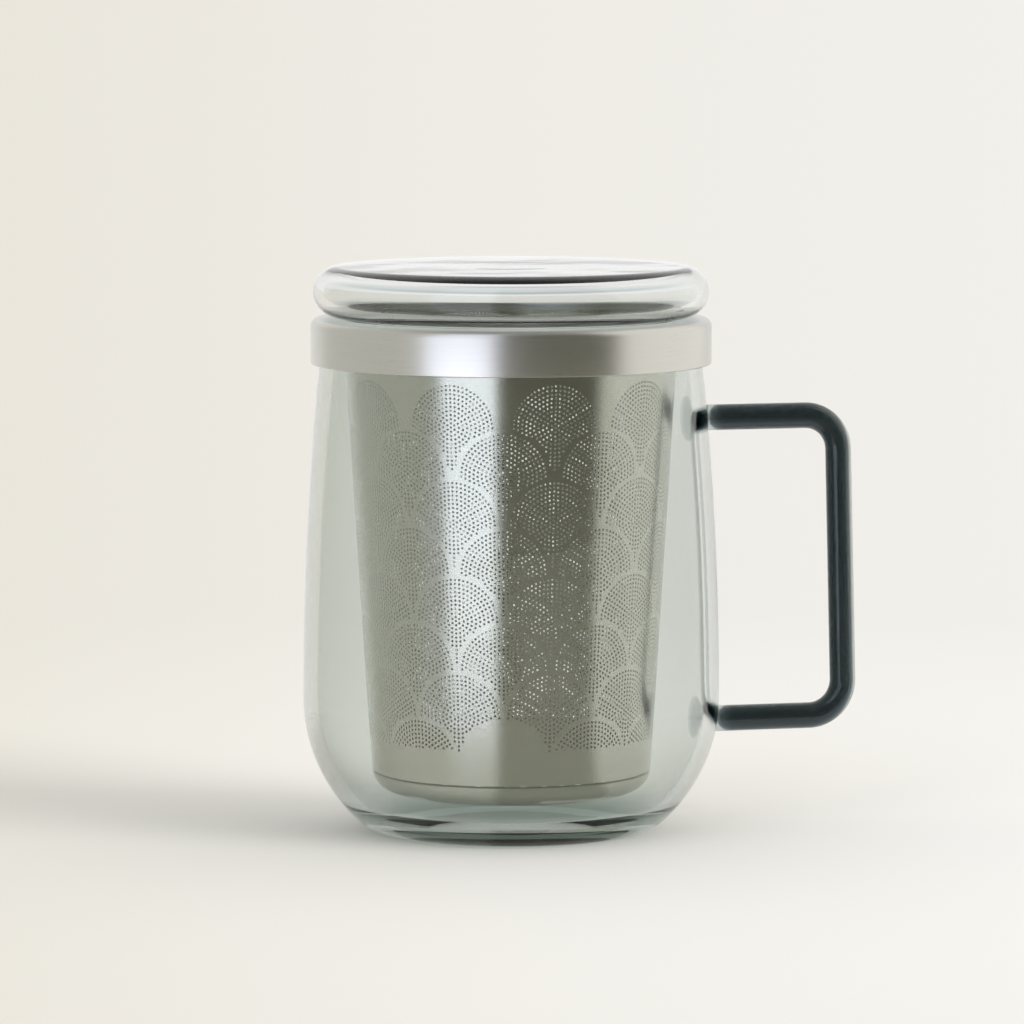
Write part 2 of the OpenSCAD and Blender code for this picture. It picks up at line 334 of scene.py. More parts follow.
def material(name):
    """A new node material with its output, its node list and its link function."""
    made = bpy.data.materials.new(name)
    made.use_nodes = True
    tree = made.node_tree
    tree.nodes.clear()
    output = tree.nodes.new("ShaderNodeOutputMaterial")
    return made, output, tree.nodes, tree.links.new


def dress(piece, *materials):
    """Puts materials on a piece."""
    piece.data.materials.clear()
    for m in materials:
        piece.data.materials.append(m)


def math_node(nodes, link, operation, a, b=None):
    """A Math node whose inputs are numbers or other nodes' outputs."""
    node = nodes.new("ShaderNodeMath")
    node.operation = operation
    for socket, value in zip(node.inputs, (a, b)):
        if isinstance(value, (int, float)):
            socket.default_value = value
        elif value is not None:
            link(value, socket)
    return node.outputs[0]


def vector_math(nodes, link, operation, vector, other=None):
    """A Vector Math node on another node's output and a constant vector."""
    node = nodes.new("ShaderNodeVectorMath")
    node.operation = operation
    link(vector, node.inputs[0])
    if other is not None:
        node.inputs[1].default_value = other
    return node.outputs["Value" if operation in ("DOT_PRODUCT", "LENGTH") else "Vector"]


def noise(nodes, link, scale, detail=2.0, stretch=(1, 1, 1), roughness=0.5):
    """Noise in the piece's own coordinates, stretched along its axes."""
    where = nodes.new("ShaderNodeTexCoord")
    mapping = nodes.new("ShaderNodeMapping")
    mapping.inputs["Scale"].default_value = stretch
    texture = nodes.new("ShaderNodeTexNoise")
    texture.inputs["Scale"].default_value = scale
    texture.inputs["Detail"].default_value = detail
    texture.inputs["Roughness"].default_value = roughness
    link(where.outputs["Object"], mapping.inputs["Vector"])
    link(mapping.outputs["Vector"], texture.inputs["Vector"])
    return texture.outputs["Fac"]


def bumped(nodes, link, shader, height, strength, distance):
    """Gives a shader a bump; distance is in metres."""
    bump = nodes.new("ShaderNodeBump")
    bump.inputs["Strength"].default_value = strength
    bump.inputs["Distance"].default_value = distance
    link(height, bump.inputs["Height"])
    link(bump.outputs["Normal"], shader.inputs["Normal"])


def ranged(nodes, link, value, low, high, start=0.3, end=0.7):
    """A value from start to end, moved to the range from low to high and kept within it."""
    node = nodes.new("ShaderNodeMapRange")
    node.inputs["From Min"].default_value = start
    node.inputs["From Max"].default_value = end
    node.inputs["To Min"].default_value = low
    node.inputs["To Max"].default_value = high
    link(value, node.inputs["Value"])
    return node.outputs["Result"]


def ramp(nodes, link, value, stops):
    """The color that a value has on a ramp of (position, color) stops."""
    node = nodes.new("ShaderNodeValToRGB")
    elements = node.color_ramp.elements
    while len(elements) < len(stops):
        elements.new(0.5)
    for element, (position, color) in zip(elements, stops):
        element.position = position
        element.color = (*color, 1)
    link(value, node.inputs[0])
    return node.outputs[0]


def mixed_color(nodes, link, factor, first, second, blend="MIX"):
    """Two colors mixed; each input is a constant or another node's output."""
    mix = nodes.new("ShaderNodeMix")
    mix.data_type = "RGBA"
    mix.blend_type = blend
    for name, value in (("Factor", factor), ("A", first), ("B", second)):
        if isinstance(value, (int, float)):
            mix.inputs[name].default_value = value
        elif isinstance(value, tuple):
            mix.inputs[name].default_value = (*value, 1)
        else:
            link(value, mix.inputs[name])
    return mix.outputs["Result"]


def mixed_shader(nodes, link, factor, first, second):
    """A Mix Shader node of two shader nodes."""
    mix = nodes.new("ShaderNodeMixShader")
    link(factor, mix.inputs[0])
    link(first.outputs[0], mix.inputs[1])
    link(second.outputs[0], mix.inputs[2])
    return mix


def absorb(nodes, link, output, tint, density):
    """Tints the light that passes through the depth of a material."""
    depth = nodes.new("ShaderNodeVolumeAbsorption")
    depth.inputs["Color"].default_value = (*tint, 1)
    depth.inputs["Density"].default_value = density
    link(depth.outputs[0], output.inputs["Volume"])


# ---------------------------------------------------------------- materials

GLASS_IOR = 1.47
STRAIGHT_TINT = (0.93, 0.94, 0.935, 1)  # of light that passes glass unbent
RIPPLE_SCALE = 45
BRUSH_DEPTH = 0.00001


def glass(name, tint, density, ripple=0.0003, fused=None):
    """Blown glass, tinted through its depth, that lets lamps and reflected light straight through.

    ripple is the depth of its waves in metres, and fused is a function that makes a mask of
    where the glass runs on into another piece of glass.
    """
    made, output, nodes, link = material(name)
    shader = nodes.new("ShaderNodeBsdfPrincipled")
    shader.inputs["Base Color"].default_value = (1, 1, 1, 1)
    shader.inputs["Roughness"].default_value = 0
    shader.inputs["IOR"].default_value = GLASS_IOR
    shader.inputs["Transmission Weight"].default_value = 1
    waves = noise(nodes, link, RIPPLE_SCALE, 1.0, (1, 1, 0.45))
    bumped(nodes, link, shader, waves, 0.2, ripple)
    clear = nodes.new("ShaderNodeBsdfTransparent")
    clear.inputs["Color"].default_value = STRAIGHT_TINT
    ray = nodes.new("ShaderNodeLightPath").outputs
    # A reflected ray that is still inside the glass is bent on its way out; others pass straight
    inside = math_node(nodes, link, "MODULO", ray["Transmission Depth"], 2)
    outside = math_node(nodes, link, "SUBTRACT", 1, inside)
    reflected = math_node(nodes, link, "MULTIPLY", ray["Is Glossy Ray"], outside)
    lit = math_node(nodes, link, "MAXIMUM", ray["Is Shadow Ray"], ray["Is Diffuse Ray"])
    straight = math_node(nodes, link, "MAXIMUM", lit, reflected)
    if fused:
        straight = math_node(nodes, link, "MAXIMUM", straight, fused(nodes, link))
    surface = mixed_shader(nodes, link, straight, shader, clear)
    link(surface.outputs[0], output.inputs["Surface"])
    absorb(nodes, link, output, tint, density)
    return made


def dyed(name, tint, density):
    """The dye inside a piece of glass: it has no surface of its own."""
    made, output, nodes, link = material(name)
    link(nodes.new("ShaderNodeBsdfTransparent").outputs[0], output.inputs["Surface"])
    absorb(nodes, link, output, tint, density)
    return made


def brushed_steel(name, color, roughness, lines, leak=0):
    """Steel brushed around the Z axis, with fine lines and faint wear.

    lines is the scale of the brushing along Z. leak is the share of the light reflected inside
    the basket that the sheet lets out again; without it, only the sheet's back lets light out.
    """
    made, output, nodes, link = material(name)
    shader = nodes.new("ShaderNodeBsdfPrincipled")
    shader.inputs["Metallic"].default_value = 1
    shader.inputs["Anisotropic"].default_value = 0.5
    shader.inputs["Anisotropic Rotation"].default_value = 0.25
    tangent = nodes.new("ShaderNodeTangent")
    tangent.direction_type = "RADIAL"
    tangent.axis = "Z"
    link(tangent.outputs[0], shader.inputs["Tangent"])
    brush = noise(nodes, link, 1, 3.0, (90, 90, lines), 0.7)
    cloud = noise(nodes, link, 60, 3.0)
    tone = ranged(nodes, link, brush, 0.96, 1.03)
    link(mixed_color(nodes, link, 1, color, tone, "MULTIPLY"), shader.inputs["Base Color"])
    rough = math_node(nodes, link, "ADD",
                      ranged(nodes, link, brush, -0.03, 0.03),
                      ranged(nodes, link, cloud, roughness - 0.02, roughness + 0.03))
    link(rough, shader.inputs["Roughness"])
    bumped(nodes, link, shader, brush, 1, BRUSH_DEPTH)
    ray = nodes.new("ShaderNodeLightPath").outputs
    passing = math_node(nodes, link, "MAXIMUM", ray["Is Glossy Ray"], ray["Is Shadow Ray"])
    if not leak:
        side = nodes.new("ShaderNodeNewGeometry")
        passing = math_node(nodes, link, "MULTIPLY", passing, side.outputs["Backfacing"])
    share = math_node(nodes, link, "MULTIPLY", passing, leak or 1)
    sheet = mixed_shader(nodes, link, share, shader, nodes.new("ShaderNodeBsdfTransparent"))
    link(sheet.outputs[0], output.inputs["Surface"])
    return made


def distance_from(nodes, link, point, centre_mm, weights):
    """Distance of a point from a centre, with a weight for each axis."""
    away = vector_math(nodes, link, "SUBTRACT", point, [c * MM for c in centre_mm])
    weighed = vector_math(nodes, link, "MULTIPLY", away, weights)
    return vector_math(nodes, link, "LENGTH", weighed)


def under_bosses(nodes, link):
    """Where the handle's two bosses stand on the cup: around the arms, on the handle's side."""
    point = nodes.new("ShaderNodeTexCoord").outputs["Object"]
    masks = []
    for arm_z in (UPPER_ARM_Z, LOWER_ARM_Z):
        away = distance_from(nodes, link, point, (0, 0, arm_z), (0, 1, 1))
        masks.append(math_node(nodes, link, "LESS_THAN", away, (BOSS_R - 0.01) * MM))
    near = math_node(nodes, link, "MAXIMUM", *masks)
    along_x = vector_math(nodes, link, "DOT_PRODUCT", point, (1, 0, 0))
    handle_side = (BELLY_R - CUP_WALL) * 0.97 * MM
    beside = math_node(nodes, link, "GREATER_THAN", along_x, handle_side)
    return math_node(nodes, link, "MULTIPLY", near, beside)


def in_cup_wall(nodes, link):
    """Where the ends of the handle's glass lie inside the cup's wall, taken as a cone there."""
    point = nodes.new("ShaderNodeTexCoord").outputs["Object"]
    away = distance_from(nodes, link, point, (0, 0, 0), (1, 1, 0))
    along_z = vector_math(nodes, link, "DOT_PRODUCT", point, (0, 0, 1))
    lean = (cup_r(LOWER_ARM_Z) - cup_r(UPPER_ARM_Z)) / (UPPER_ARM_Z - LOWER_ARM_Z)
    reach = math_node(nodes, link, "ADD", away, math_node(nodes, link, "MULTIPLY", along_z, lean))
    surface = cup_r(LOWER_ARM_Z) + lean * LOWER_ARM_Z - 0.3
    return math_node(nodes, link, "LESS_THAN", reach, surface * MM)


SMOKE = glass("smoke_glass", (0.50, 0.58, 0.54), 66, fused=under_bosses)
ROD_GLASS = glass("rod_glass", (0.50, 0.56, 0.56), 260, ripple=0.0001, fused=in_cup_wall)
DYE = dyed("dark_dye", (0.10, 0.19, 0.23), 830)
CLEAR = glass("clear_glass", (0.62, 0.68, 0.68), 30)
COLLAR_STEEL = brushed_steel("collar_steel", (0.61, 0.605, 0.57), 0.30, 5000)
BASKET_STEEL = brushed_steel("basket_steel", (0.58, 0.575, 0.505), 0.18, 8000)
# A copy of the collar's steel with painted shade: its dark colour stands for the shade inside the
# mouth
SHADED_MOUTH_STEEL = brushed_steel("mouth_steel_painted_shade", (0.07, 0.07, 0.07), 0.30, 5000)
# A copy of the basket's steel with painted light: the inner faces are paler, to light what shows
# through the holes
LIT_INNER_STEEL = brushed_steel("inner_steel_painted_light", (0.90, 0.895, 0.87), 0.20, 8000, leak=0.9)


# ---------------------------------------------------------------- the mug

def make_cup():
    """The cup's section: push-up, outer side, rim, inner side and inner floor."""
    rim_z = CUP_H - CUP_WALL / 2
    rim_x = cup_r(rim_z) - CUP_WALL / 2
    hollow = [(PUSH_UP_R * i / 10, PUSH_UP * (1 - (i / 10) ** 2)) for i in range(11)]
    outside = cup_side(0, FOOT_CORNER, 0, rim_z)
    rim = arc(rim_x, rim_z, CUP_WALL / 2, 0, 180)
    inside = cup_side(CUP_WALL, INNER_CORNER, BASE_T, rim_z)
    floor_r = inside[0][0]
    floor = [(floor_r * i / 10, BASE_T) for i in range(9, -1, -1)]
    profile = hollow + outside + rim + inside[::-1] + floor
    cup = turned("cup_glass", [profile])
    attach(cup, "mug")
    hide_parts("cup")
    dress(cup, SMOKE)


def handle_line():
    """Points of the rod's centre line from the upper end to the lower one."""
    upper, lower = cup_r(UPPER_ARM_Z) - BOSS_BURY, cup_r(LOWER_ARM_Z) - BOSS_BURY
    lean = math.degrees(math.atan2(GRIP_LEAN, UPPER_ARM_Z - LOWER_ARM_Z))
    c = HANDLE_CORNER
    top_trim = c * math.tan(math.radians((90 - lean) / 2))
    foot_trim = c * math.tan(math.radians((90 + lean) / 2))
    top = arc(GRIP_TOP_X - top_trim, UPPER_ARM_Z - c, c, 90, lean, 20)
    foot = arc(GRIP_FOOT_X - foot_trim, LOWER_ARM_Z + c, c, lean, -90, 20)
    first = [(x, UPPER_ARM_Z) for x in np.linspace(upper, top[0][0], 60)[:-1]]
    start, stop = np.array(top[-1]), np.array(foot[0])
    grip = [tuple(start + (stop - start) * t) for t in np.linspace(0, 1, 16)[1:-1]]
    last = [(x, LOWER_ARM_Z) for x in np.linspace(foot[-1][0], lower, 60)[1:]]
    return first + top + grip + foot + last


def flared(distance):
    """The rod's radius at a distance from the cup's surface."""
    if distance >= FLARE:
        return ROD_R
    t = 1 - max(distance, 0) / FLARE
    return ROD_R + FLARE * (1 - math.sqrt(1 - t ** 2))


def make_handle():
    """The rod of clear glass, and the core of dye inside it."""
    line = handle_line()
    rod = swept("handle_rod", [(x, 0, z) for x, z in line], [flared(x - cup_r(z)) for x, z in line])
    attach(rod, "mug")
    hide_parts("handle")
    dress(rod, ROD_GLASS)
    dyed_line = [(x, z) for x, z in line if x - cup_r(z) >= DYE_START]
    # Painted light and shade: the core is moved towards the cup, so the grip's far side stays light
    inward = DYE_SHIFT_PAINTED_LIGHT / (GRIP_TOP_X - dyed_line[0][0])
    dyed_line = [(x - inward * (x - dyed_line[0][0]), z) for x, z in dyed_line]
    length = np.cumsum([0] + [math.dist(a, b) for a, b in zip(dyed_line, dyed_line[1:])])
    end = np.minimum(length, length[-1] - length)
    rounding = np.sqrt(np.clip(end / DYE_TIP, 0.01, 1))
    core = swept("handle_dye", [(x, 0, z) for x, z in dyed_line], (DYE_R * rounding).tolist())
    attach(core, "mug")
    dress(core, DYE)


# ---------------------------------------------------------------- the infuser

def make_collar():
    """The collar's section, from its skirt's edge over the shoulder into the mouth and back."""
    under = SHOULDER - COLLAR_T
    e = SHEET_EDGE
    outside = (
        arc(COLLAR_R - e, SKIRT_FOOT + e, e, -90, 0, 5)
        + arc(COLLAR_R - SHOULDER, COLLAR_TOP - SHOULDER, SHOULDER, 0, 90, 16)
        + arc(MOUTH_R + MOUTH_BEND, COLLAR_TOP - MOUTH_BEND, MOUTH_BEND, 90, 180, 12)
        + [(MOUTH_R, z) for z in np.linspace(MOUTH_STRAIGHT, MOUTH_FOOT, 6)]
    )
    bend_foot = COLLAR_TOP - MOUTH_BEND - COLLAR_T
    inside = (
        [(MOUTH_R + COLLAR_T, z) for z in np.linspace(MOUTH_FOOT, bend_foot, 6)]
        + [(MOUTH_R + MOUTH_BEND + COLLAR_T, COLLAR_TOP - COLLAR_T)]
        + arc(COLLAR_R - SHOULDER, COLLAR_TOP - SHOULDER, under, 90, 0, 12)
        + arc(COLLAR_R - COLLAR_T + e, SKIRT_FOOT + e, e, 180, 270, 5)
    )
    collar = turned("infuser_collar", [outside + inside], loop=True, sharp=50)
    # The mouth's inner face gets the steel with painted shade
    for face in collar.data.polygons:
        within = math.hypot(face.center.x, face.center.y) < MOUTH_OUTSIDE * MM
        face.material_index = 1 if within else 0
    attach(collar, "infuser")
    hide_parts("collar")
    dress(collar, COLLAR_STEEL, SHADED_MOUTH_STEEL)


def wall_r(z):
    """Outer radius of the basket's wall at a height."""
    return FOOT_R + (WALL_TOP_R - FOOT_R) * (z - SEAM_Z) / (WALL_TOP - SEAM_Z)


def scale_place(row, column):
    """Angle in degrees, and height, of a scale's centre."""
    turn = SCALE_TURN + 360 / COLUMNS * (column + (row % 2) / 2)
    return turn, SCALES_TOP - SCALE_R - row * SCALE_ROW


def far_from(row, column, angle, z):
    """Distance on the wall from a scale's centre."""
    centre, height = scale_place(row, column)
    return math.hypot(math.radians(angle - centre) * wall_r(z), z - height)


def scale_holes(row, column):
    """Centres of the holes of one scale that no lower scale laps over, as (angle, height)."""
    centre, height = scale_place(row, column)
    found = []
    for r in np.arange(SCALE_R - HOLE_R, -ARC_PITCH / 3, -ARC_PITCH):
        count = max(1, 2 * round(TURN * r / HOLE_PITCH / 2))
        for i in range(count):
            turn = TURN * i / count + math.pi / 2
            z = height + r * math.sin(turn)
            angle = centre + math.degrees(r * math.cos(turn) / wall_r(z))
            lapped = any(
                far_from(below, beside, angle, z) < SCALE_R + SCALE_BAND
                for below in (row + 1, row + 2) if below < SCALE_ROWS
                for beside in (column - 1, column, column + 1))
            if z > SCALES_FOOT + HOLE_R and not lapped:
                found.append((angle, z))
    return found


def make_basket_wall():
    """The round wall in gores, each from beside the middle of one scale to that of the next."""
    span = 360 / COLUMNS
    slope = (WALL_TOP_R - FOOT_R) / (WALL_TOP - SEAM_Z)
    lean = math.hypot(1, slope)

    def place(points):
        angles = np.radians(points[:, 0])
        r = wall_r(points[:, 1])
        position = np.stack([r * np.cos(angles), r * np.sin(angles), points[:, 1]], 1)
        outward = np.stack([np.cos(angles), np.sin(angles), np.full(len(r), -slope)], 1) / lean
        return position, outward

    def ring(hole):
        degrees = math.degrees(HOLE_R / wall_r(hole[1]))
        corners = circle(1, HOLE_SIDES, 0.5)
        return [(hole[0] + degrees * x, hole[1] + HOLE_R * y) for x, y in corners]

    def seam(z):
        return SCALE_TURN + math.degrees(HOLE_PITCH / 2 / wall_r(z))

    def gore_holes(first):
        found = [
            h for row in range(SCALE_ROWS) for column in (-1, 0, 1, 2)
            if (row, (first + column) % COLUMNS) != BARE_SCALE
            for h in scale_holes(row, column)]
        return [h for h in found if seam(h[1]) < h[0] < seam(h[1]) + span]

    steps_a, steps_z = 24, 60
    across = np.linspace(0, span, steps_a + 1)
    heights = np.linspace(SEAM_Z, WALL_TOP, steps_z + 1)
    rim = (
        [(seam(SEAM_Z) + a, SEAM_Z) for a in across]
        + [(seam(z) + span, z) for z in heights[1:]]
        + [(seam(WALL_TOP) + a, WALL_TOP) for a in across[-2::-1]]
        + [(seam(z), z) for z in heights[-2:0:-1]]
    )
    grid = np.array([(seam(z) + a, z) for a in across[1:-1] for z in heights[1:-1]])

    def loose(holes):
        """Grid points that lie clear of every hole."""
        holes = np.array(holes)
        beside = np.radians(grid[:, None, 0] - holes[None, :, 0]) * wall_r(grid[:, 1])[:, None]
        apart = np.hypot(beside, grid[:, None, 1] - holes[None, :, 1]).min(1)
        return [tuple(p) for p in grid[apart > HOLE_R + HOLE_MARGIN]]

    full = gore_holes(0)
    for column in range(COLUMNS):
        holes = gore_holes(column) if column == BARE_SCALE[1] else full
        gore = punched_sheet(
            f"basket_gore_{column}", rim, loose(holes), holes, ring, place, BASKET_T)
        gore.data.transform(Matrix.Rotation(math.radians(span * column), 4, "Z"))
        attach(gore, "infuser")
        # The inner face gets the steel with painted light
        dress(gore, BASKET_STEEL, LIT_INNER_STEEL)
        if column == 0:
            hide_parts("basket_wall")


def make_pan():
    """The floor pan, drawn as a flat disc: its corner is a ring of the disc."""
    flat_r = FOOT_R - PAN_CORNER
    reach = flat_r + PAN_CORNER * math.pi / 2
    segments = 180

    def place(points):
        length = np.hypot(points[:, 0], points[:, 1])
        angle = np.arctan2(points[:, 1], points[:, 0])
        bent = np.clip((length - flat_r) / PAN_CORNER, 0, None)
        r = np.minimum(length, flat_r) + PAN_CORNER * np.sin(bent)
        z = PAN_BOTTOM + PAN_CORNER * (1 - np.cos(bent))
        position = np.stack([r * np.cos(angle), r * np.sin(angle), z], 1)
        sideways = np.sin(bent)
        outward = np.stack([sideways * np.cos(angle), sideways * np.sin(angle), -np.cos(bent)], 1)
        return position, outward

    def ring(hole):
        return [(hole[0] + x, hole[1] + y) for x, y in circle(DRAIN_R, DRAIN_SIDES, 0.5)]

    holes = [p for n in range(1, DRAIN_RINGS + 1) for p in circle(n * DRAIN_PITCH, 6 * n)]
    bends = [p for r in np.linspace(flat_r, reach, 13)[:-1] for p in circle(r, segments)]
    pan = punched_sheet(
        "basket_pan", circle(reach, segments), bends + [(0, 0)], holes, ring, place, BASKET_T)
    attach(pan, "infuser")
    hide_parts("basket_floor")
    # The inner face gets the steel with painted light
    dress(pan, BASKET_STEEL, LIT_INNER_STEEL)


# ---------------------------------------------------------------- the lid

def make_lid():
    """The hollow lid: its outer face and its inner one, both with the step that centres it."""
    lower_x, upper_x = LID_R - LID_LOWER_EDGE, LID_R - LID_UPPER_EDGE
    foot = LID_SEAT - STEP_H

    def dimple(drop):
        """The shallow hollow in the lid's top, from its edge to the middle."""
        return [
            (DIMPLE_R * t, LID_TOP - drop - DIMPLE_H * (1 + math.cos(math.pi * t)) / 2)
            for t in np.linspace(1, 0, 17)]

    outside = (
        [(0, foot), (STEP_R / 2, foot)]
        + arc(STEP_R - STEP_BEND, foot + STEP_BEND, STEP_BEND, -90, 0, 10)
        + [(STEP_R, LID_SEAT - STEP_EASE)]
        + arc(STEP_R + STEP_EASE, LID_SEAT - STEP_EASE, STEP_EASE, 180, 90, 6)
        + arc(lower_x, LID_MID, LID_LOWER_EDGE, -90, 0)
        + arc(upper_x, LID_MID, LID_UPPER_EDGE, 0, 90)
        + dimple(0)
    )
    inner_r = STEP_R - LID_WALL
    inside = (
        [(0, foot + LID_WALL), (inner_r / 2, foot + LID_WALL)]
        + arc(inner_r - STEP_BEND, foot + LID_WALL + STEP_BEND, STEP_BEND, -90, 0, 10)
        + [(inner_r, LID_SEAT + LID_WALL - STEP_EASE)]
        + arc(inner_r + STEP_EASE, LID_SEAT + LID_WALL - STEP_EASE, STEP_EASE, 180, 90, 6)
        + arc(lower_x, LID_MID, LID_LOWER_EDGE - LID_WALL, -90, 0)
        + arc(upper_x, LID_MID, LID_UPPER_EDGE - LID_WALL, 0, 90)
        + dimple(LID_WALL)
    )
    lid = turned("lid_glass", [outside, inside[::-1]])
    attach(lid, "lid")
    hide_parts("lid_bottom", "lid_top")
    dress(lid, CLEAR)


# ---------------------------------------------------------------- studio

WHITE, CREAM, COOL = (1, 1, 1), (1, 0.985, 0.94), (0.95, 0.98, 1.13)
OLIVE, OCHRE = (1, 1, 0.93), (1, 0.98, 0.82)

# The walls around the table: degrees to the right of the camera's side, brightness and tint
WALLS = [
    (-180, 0.97, WHITE), (-142, 0.90, CREAM), (-130, 0.70, OLIVE), (-54, 0.63, OLIVE),
    (-46, 1.38, COOL), (-12, 1.42, COOL), (-7, 0.17, OCHRE), (62, 0.17, OCHRE),
    (68, 1.05, CREAM), (138, 1.1, CREAM), (152, 0.85, CREAM), (180, 0.97, WHITE),
]
# What the foot of the soft box, the bright part of the walls, has on top of that
BOX_FOOT = [(-54, 0, COOL), (-46, 0.70, COOL), (-12, 0.70, COOL), (-7, 0, COOL)]
BOX_FOOT_RISE = (-0.16, -0.09)
CEILING = (0.40, 0.40, 0.39)
CEILING_RISE = (0.80, 0.95)
BACKDROP = (0.86, 0.845, 0.79)

# Painted light on the table, from the picture's left to its right, far from the mug and near it:
# it grows paler towards the key on the right, and paler near the mug, lifting the shade there.
# Reaches are from where a change begins to where it ends, in metres from the mug's axis.
TABLE_SPREAD = 0.075  # about half the picture's width, in radians from the camera
FAR_PAINTED_LIGHT = [(0, (0.81, 0.785, 0.72)), (0.5, (0.855, 0.835, 0.795)), (1, (0.88, 0.865, 0.835))]
NEAR_PAINTED_LIGHT = [(0, (0.855, 0.83, 0.765)), (0.5, (0.92, 0.90, 0.86)), (1, (0.96, 0.945, 0.915))]
NEAR_REACH = (0.12, 0.45)
# Its shade before the dark wall, from the mug outwards
SHADE_COLORS = [
    (0, (0.46, 0.455, 0.39)), (0.3, (0.33, 0.325, 0.27)),
    (0.75, (0.20, 0.195, 0.16)), (1, (0.14, 0.135, 0.11)),
]
SHADE_REACH = (0.10, 0.60)
SHADE_BEGINS = (-12, -6)  # degrees to the right of the camera's side
SHADE_ENDS = (58, 66)
# A painted glow on the table under the base, for the light that its thick glass gathers there,
# and the share that mirrors show of it
PAINTED_GLOW = (0.66, 0.67, 0.64, 1)
PAINTED_GLOW_SHARE = 0.65
PAINTED_GLOW_REACH = (0.040, 0.056)
MIRRORED_SHARE = 0.35

TABLE_R = 100  # radius of the near part, past which mirrors see less and less of the table
TABLE_FADE = 210
TABLE_EDGE = 30 / MM
TABLE_SIDES = 96


def by_turn(rows):
    """Ramp stops from rows of degrees, brightness and tint."""
    return [(degrees / 360 + 0.5, tuple(level * t for t in tint)) for degrees, level, tint in rows]


def make_world():
    """Soft boxes and darker walls around the table, by direction from it."""
    world = bpy.data.worlds.new("studio")
    bpy.context.scene.world = world
    world.use_nodes = True
    tree = world.node_tree
    tree.nodes.clear()
    nodes, link = tree.nodes, tree.links.new
    direction = nodes.new("ShaderNodeTexCoord").outputs["Generated"]
    ahead, right, rise = (
        vector_math(nodes, link, "DOT_PRODUCT", direction, axis)
        for axis in (TO_CAMERA, TO_RIGHT, (0, 0, 1)))
    turn = math_node(nodes, link, "ARCTAN2", right, ahead)
    share = ranged(nodes, link, turn, 0, 1, -math.pi, math.pi)
    walls = ramp(nodes, link, share, by_turn(WALLS))
    foot = ramp(nodes, link, share, by_turn(BOX_FOOT))
    low = ranged(nodes, link, rise, 1, 0, *BOX_FOOT_RISE)
    around = mixed_color(nodes, link, low, walls, foot, "ADD")
    high = ranged(nodes, link, rise, 0, 1, *CEILING_RISE)
    room = mixed_color(nodes, link, high, around, CEILING)
    seen = nodes.new("ShaderNodeLightPath").outputs["Is Camera Ray"]
    background = nodes.new("ShaderNodeBackground")
    link(mixed_color(nodes, link, seen, room, BACKDROP), background.inputs["Color"])
    output = nodes.new("ShaderNodeOutputWorld")
    link(background.outputs[0], output.inputs[0])


def table_material():
    """A pale table with painted light, as the camera sees it: paler to the right and near the mug.

    Shiny things see it shaded before the studio's dark wall, and elsewhere only its near part.
    Through glass and in mirrors it shows a painted glow under the base.
    """
    made, output, nodes, link = material("floor")
    point = nodes.new("ShaderNodeTexCoord").outputs["Object"]
    ahead = vector_math(nodes, link, "DOT_PRODUCT", point, TO_CAMERA)
    right = vector_math(nodes, link, "DOT_PRODUCT", point, TO_RIGHT)
    reach = vector_math(nodes, link, "LENGTH", point)

    # Painted light: the table grows paler to the right and near the mug
    away = math_node(nodes, link, "SUBTRACT", CAMERA_DISTANCE * MM, ahead)
    turn = math_node(nodes, link, "ARCTAN2", right, away)
    across = ranged(nodes, link, turn, 0, 1, -TABLE_SPREAD, TABLE_SPREAD)
    far, near = (ramp(nodes, link, across, colors) for colors in (FAR_PAINTED_LIGHT, NEAR_PAINTED_LIGHT))
    nearness = ranged(nodes, link, reach, 1, 0, *NEAR_REACH)
    pale = nodes.new("ShaderNodeBsdfDiffuse")
    link(mixed_color(nodes, link, nearness, far, near), pale.inputs["Color"])

    ray = nodes.new("ShaderNodeLightPath").outputs
    seen_through = ray["Is Transmission Ray"]
    unbent = math_node(nodes, link, "SUBTRACT", 1, seen_through)
    shiny = math_node(nodes, link, "MULTIPLY", ray["Is Glossy Ray"], unbent)

    around = math_node(nodes, link, "ARCTAN2", right, ahead)
    begun = ranged(nodes, link, around, 0, 1, *map(math.radians, SHADE_BEGINS))
    lasting = ranged(nodes, link, around, 1, 0, *map(math.radians, SHADE_ENDS))
    shaded = math_node(nodes, link, "MULTIPLY", begun, lasting)
    outwards = ranged(nodes, link, reach, 0, 1, *SHADE_REACH)
    shade = nodes.new("ShaderNodeBsdfDiffuse")
    link(ramp(nodes, link, outwards, SHADE_COLORS), shade.inputs["Color"])
    in_shade = math_node(nodes, link, "MULTIPLY", shaded, shiny)
    table = mixed_shader(nodes, link, in_shade, pale, shade)

    beyond = ranged(nodes, link, reach, 0, 1, TABLE_R * MM, TABLE_FADE * MM)
    unshaded = math_node(nodes, link, "SUBTRACT", 1, shaded)
    left_open = math_node(nodes, link, "MULTIPLY", beyond, unshaded)
    through = math_node(nodes, link, "MULTIPLY", left_open, shiny)
    table = mixed_shader(nodes, link, through, table, nodes.new("ShaderNodeBsdfTransparent"))

    # Painted light: the table glows under the base, seen only through glass and in mirrors
    painted_glow = nodes.new("ShaderNodeEmission")
    painted_glow.inputs["Color"].default_value = PAINTED_GLOW
    under = ranged(nodes, link, reach, PAINTED_GLOW_SHARE, 0, *PAINTED_GLOW_REACH)
    mirrored = math_node(nodes, link, "MULTIPLY", shiny, MIRRORED_SHARE)
    shown = math_node(nodes, link, "MAXIMUM", mirrored, seen_through)
    lit = math_node(nodes, link, "MULTIPLY", shown, under)
    table = mixed_shader(nodes, link, lit, table, painted_glow)
    link(table.outputs[0], output.inputs["Surface"])
    return made


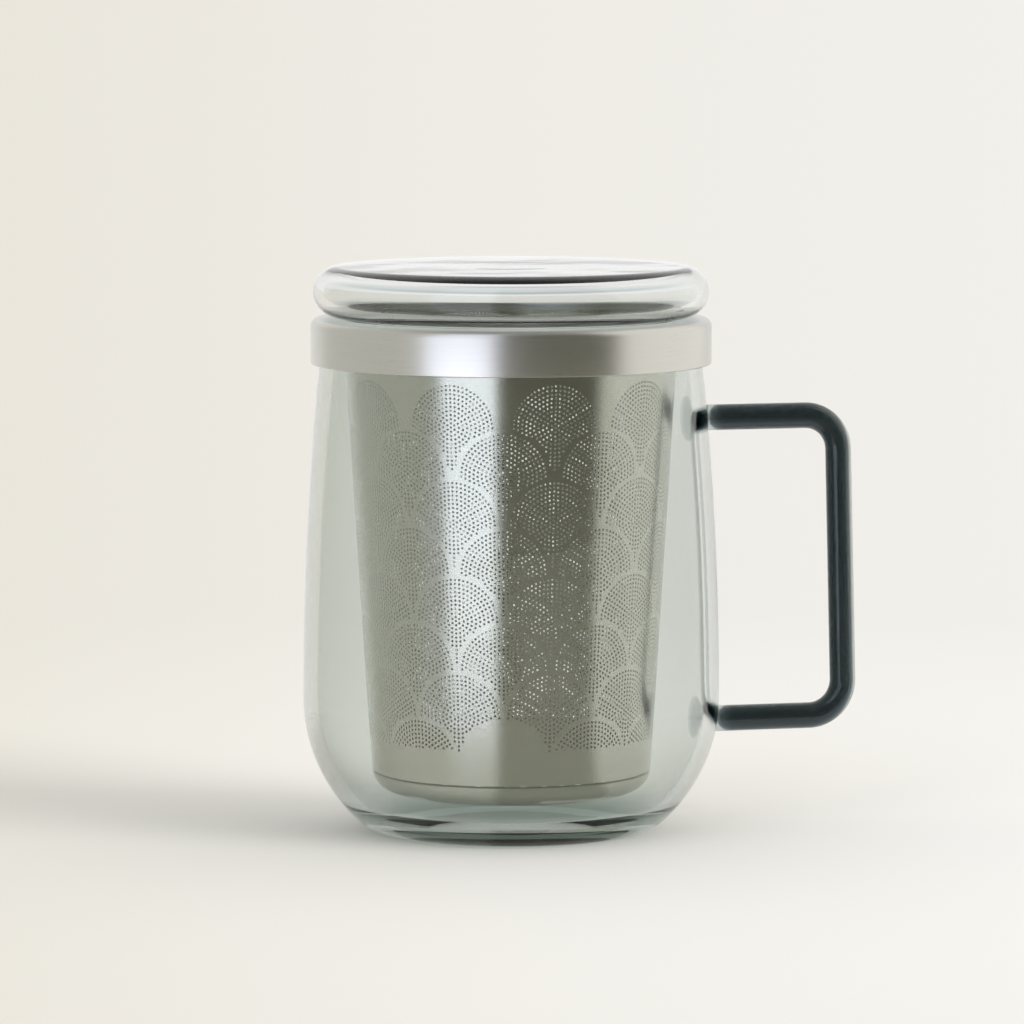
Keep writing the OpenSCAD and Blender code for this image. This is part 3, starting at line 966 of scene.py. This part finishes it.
def make_floor():
    """A wide plain floor that fills the picture: a round near part and the rest around it."""
    made = table_material()
    count = TABLE_SIDES
    rings = [[(x, y, 0) for x, y in circle(r, count)] for r in (TABLE_R, TABLE_EDGE)]
    near = mesh_object("floor_near", rings[0], [list(range(count))])
    far = mesh_object("floor_far", rings[0] + rings[1], [
        [i, count + i, count + (i + 1) % count, (i + 1) % count] for i in range(count)])
    far.visible_shadow = False
    for part in (near, far):
        dress(part, made)


def distant_lamp(name, energy, angle, color):
    """A wide distant lamp that shiny things don't mirror."""
    lamp = bpy.data.lights.new(name, "SUN")
    lamp.energy = energy
    lamp.angle = angle
    lamp.color = color
    placed = bpy.data.objects.new(name, lamp)
    bpy.context.scene.collection.objects.link(placed)
    placed.visible_glossy = placed.visible_transmission = False
    return placed


def make_lamps():
    """A soft key, low on the right and a little in front, and the even light of a white ceiling."""
    key = distant_lamp("key", 2.0, math.radians(34), (1, 0.99, 0.98))
    side, rise = math.radians(62), math.radians(21)
    level = TO_CAMERA * math.cos(side) + TO_RIGHT * math.sin(side)
    source = level * math.cos(rise) + Vector((0, 0, math.sin(rise)))
    key.rotation_mode = "QUATERNION"
    key.rotation_quaternion = source.to_track_quat("Z", "Y")
    distant_lamp("fill", 0.28, math.pi, (1, 0.99, 0.985))


def make_camera():
    data = bpy.data.cameras.new("camera")
    data.sensor_width = 36
    data.lens = FOCAL_PIXELS / IMAGE_PIXELS * data.sensor_width
    data.clip_start, data.clip_end = 0.05, 100
    camera = bpy.data.objects.new("camera", data)
    bpy.context.scene.collection.objects.link(camera)
    pitch = math.radians(CAMERA_PITCH)
    back = TO_CAMERA * math.cos(pitch) + Vector((0, 0, math.sin(pitch)))
    aim = TO_RIGHT * AIM_RIGHT + Vector((0, 0, AIM_Z))
    camera.location = (aim + back * CAMERA_DISTANCE) * MM
    camera.rotation_mode = "QUATERNION"
    camera.rotation_quaternion = back.to_track_quat("Z", "Y")
    bpy.context.scene.camera = camera


make_cup()
make_handle()
make_collar()
make_basket_wall()
make_pan()
make_lid()
make_world()
make_floor()
make_lamps()
make_camera()

scene = bpy.context.scene
scene.view_settings.view_transform = "Standard"
scene.cycles.max_bounces = 24
scene.cycles.transmission_bounces = 24
scene.cycles.transparent_max_bounces = 24
